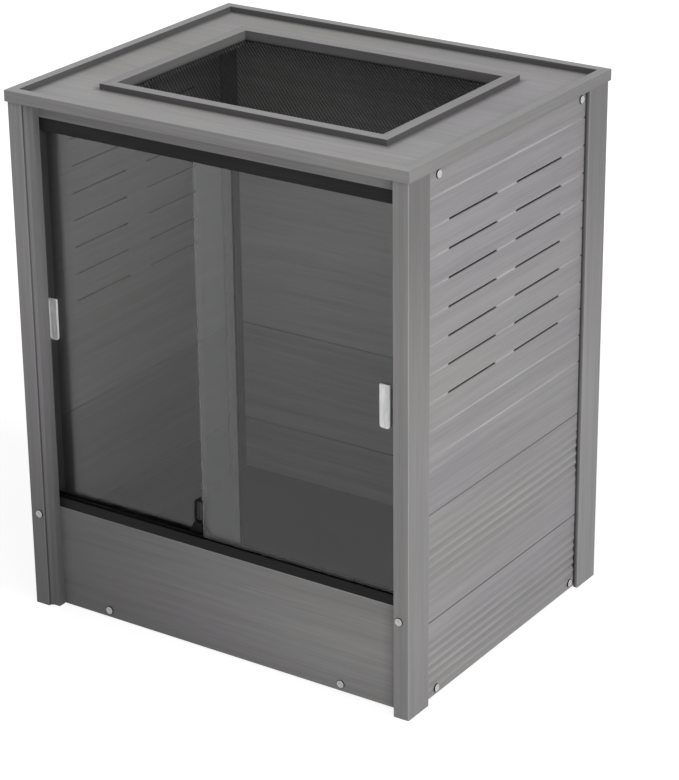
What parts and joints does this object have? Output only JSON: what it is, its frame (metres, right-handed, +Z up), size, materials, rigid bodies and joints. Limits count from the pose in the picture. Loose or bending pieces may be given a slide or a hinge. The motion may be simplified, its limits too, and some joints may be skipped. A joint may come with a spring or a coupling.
{
  "type": "chameleon cage",
  "caption": "Tall grey cabinet cage with sliding glass doors, slotted board sides and a raised mesh frame in its rimmed top.",
  "frame": {"origin": "on the floor, under the middle of the cage", "axes": "+X to the right seen from the front, +Y to the back, +Z up"},
  "size_m": [0.762, 0.6096, 0.9144],
  "materials": {
    "grey_board": "brushed grey board with a fine lengthwise grain",
    "door_glass": "clear polished glass",
    "black_plastic": "satin black",
    "bright_metal": "bright rolled metal",
    "black_mesh": "fine black woven mesh",
    "grey_bolt": "satin grey",
    "dark_floor": "matt dark liner"
  },
  "bodies": {
    "cabinet": {"bolts": "grey_bolt", "cap_rim_front": "grey_board", "cap_rim_left": "grey_board", "cap_rim_rear": "grey_board", "cap_rim_right": "grey_board", "floor_panel": "dark_floor", "front_floor_bearer": "grey_board", "front_left_post": "grey_board", "front_right_post": "grey_board", "head_batten": "grey_board", "kick_board": "grey_board", "left_floor_bearer": "grey_board", "left_lower_board": "grey_board", "left_middle_board": "grey_board", "left_stop_strip": "grey_board", "left_top_batten": "grey_board", "left_upper_board": "grey_board", "lower_track": "black_plastic", "mesh_frame_front": "grey_board", "mesh_frame_left": "grey_board", "mesh_frame_rear": "grey_board", "mesh_frame_right": "grey_board", "mesh_retainers": "grey_board", "mesh_screen": "black_mesh", "rear_floor_bearer": "grey_board", "rear_left_post": "grey_board", "rear_lower_board": "grey_board", "rear_middle_board": "grey_board", "rear_right_post": "grey_board", "rear_top_batten": "grey_board", "rear_upper_board": "grey_board", "right_floor_bearer": "grey_board", "right_lower_board": "grey_board", "right_middle_board": "grey_board", "right_top_batten": "grey_board", "right_upper_board": "grey_board", "sill_batten": "grey_board", "top_panel": "grey_board", "top_rail": "grey_board", "upper_track": "black_plastic"},
    "left_door": {"left_pane": "door_glass", "left_pull": "bright_metal", "latch_plate": "black_plastic"},
    "right_door": {"right_pane": "door_glass", "right_pull": "bright_metal"},
    "latch": {"latch_lever": "black_plastic"}
  },
  "joints": [
    {"name": "left_door_slide", "type": "slide", "parent": "cabinet", "child": "left_door", "axis": [1, 0, 0], "range_m": [0, 0.314]},
    {"name": "right_door_slide", "type": "slide", "parent": "cabinet", "child": "right_door", "axis": [-1, 0, 0], "range_m": [0, 0.314]},
    {"name": "latch_turn", "type": "hinge", "parent": "left_door", "child": "latch", "pos_m": [-0.046, -0.2691, 0.215], "axis": [0, 1, 0], "range_deg": [-90, 90]}
  ]
}
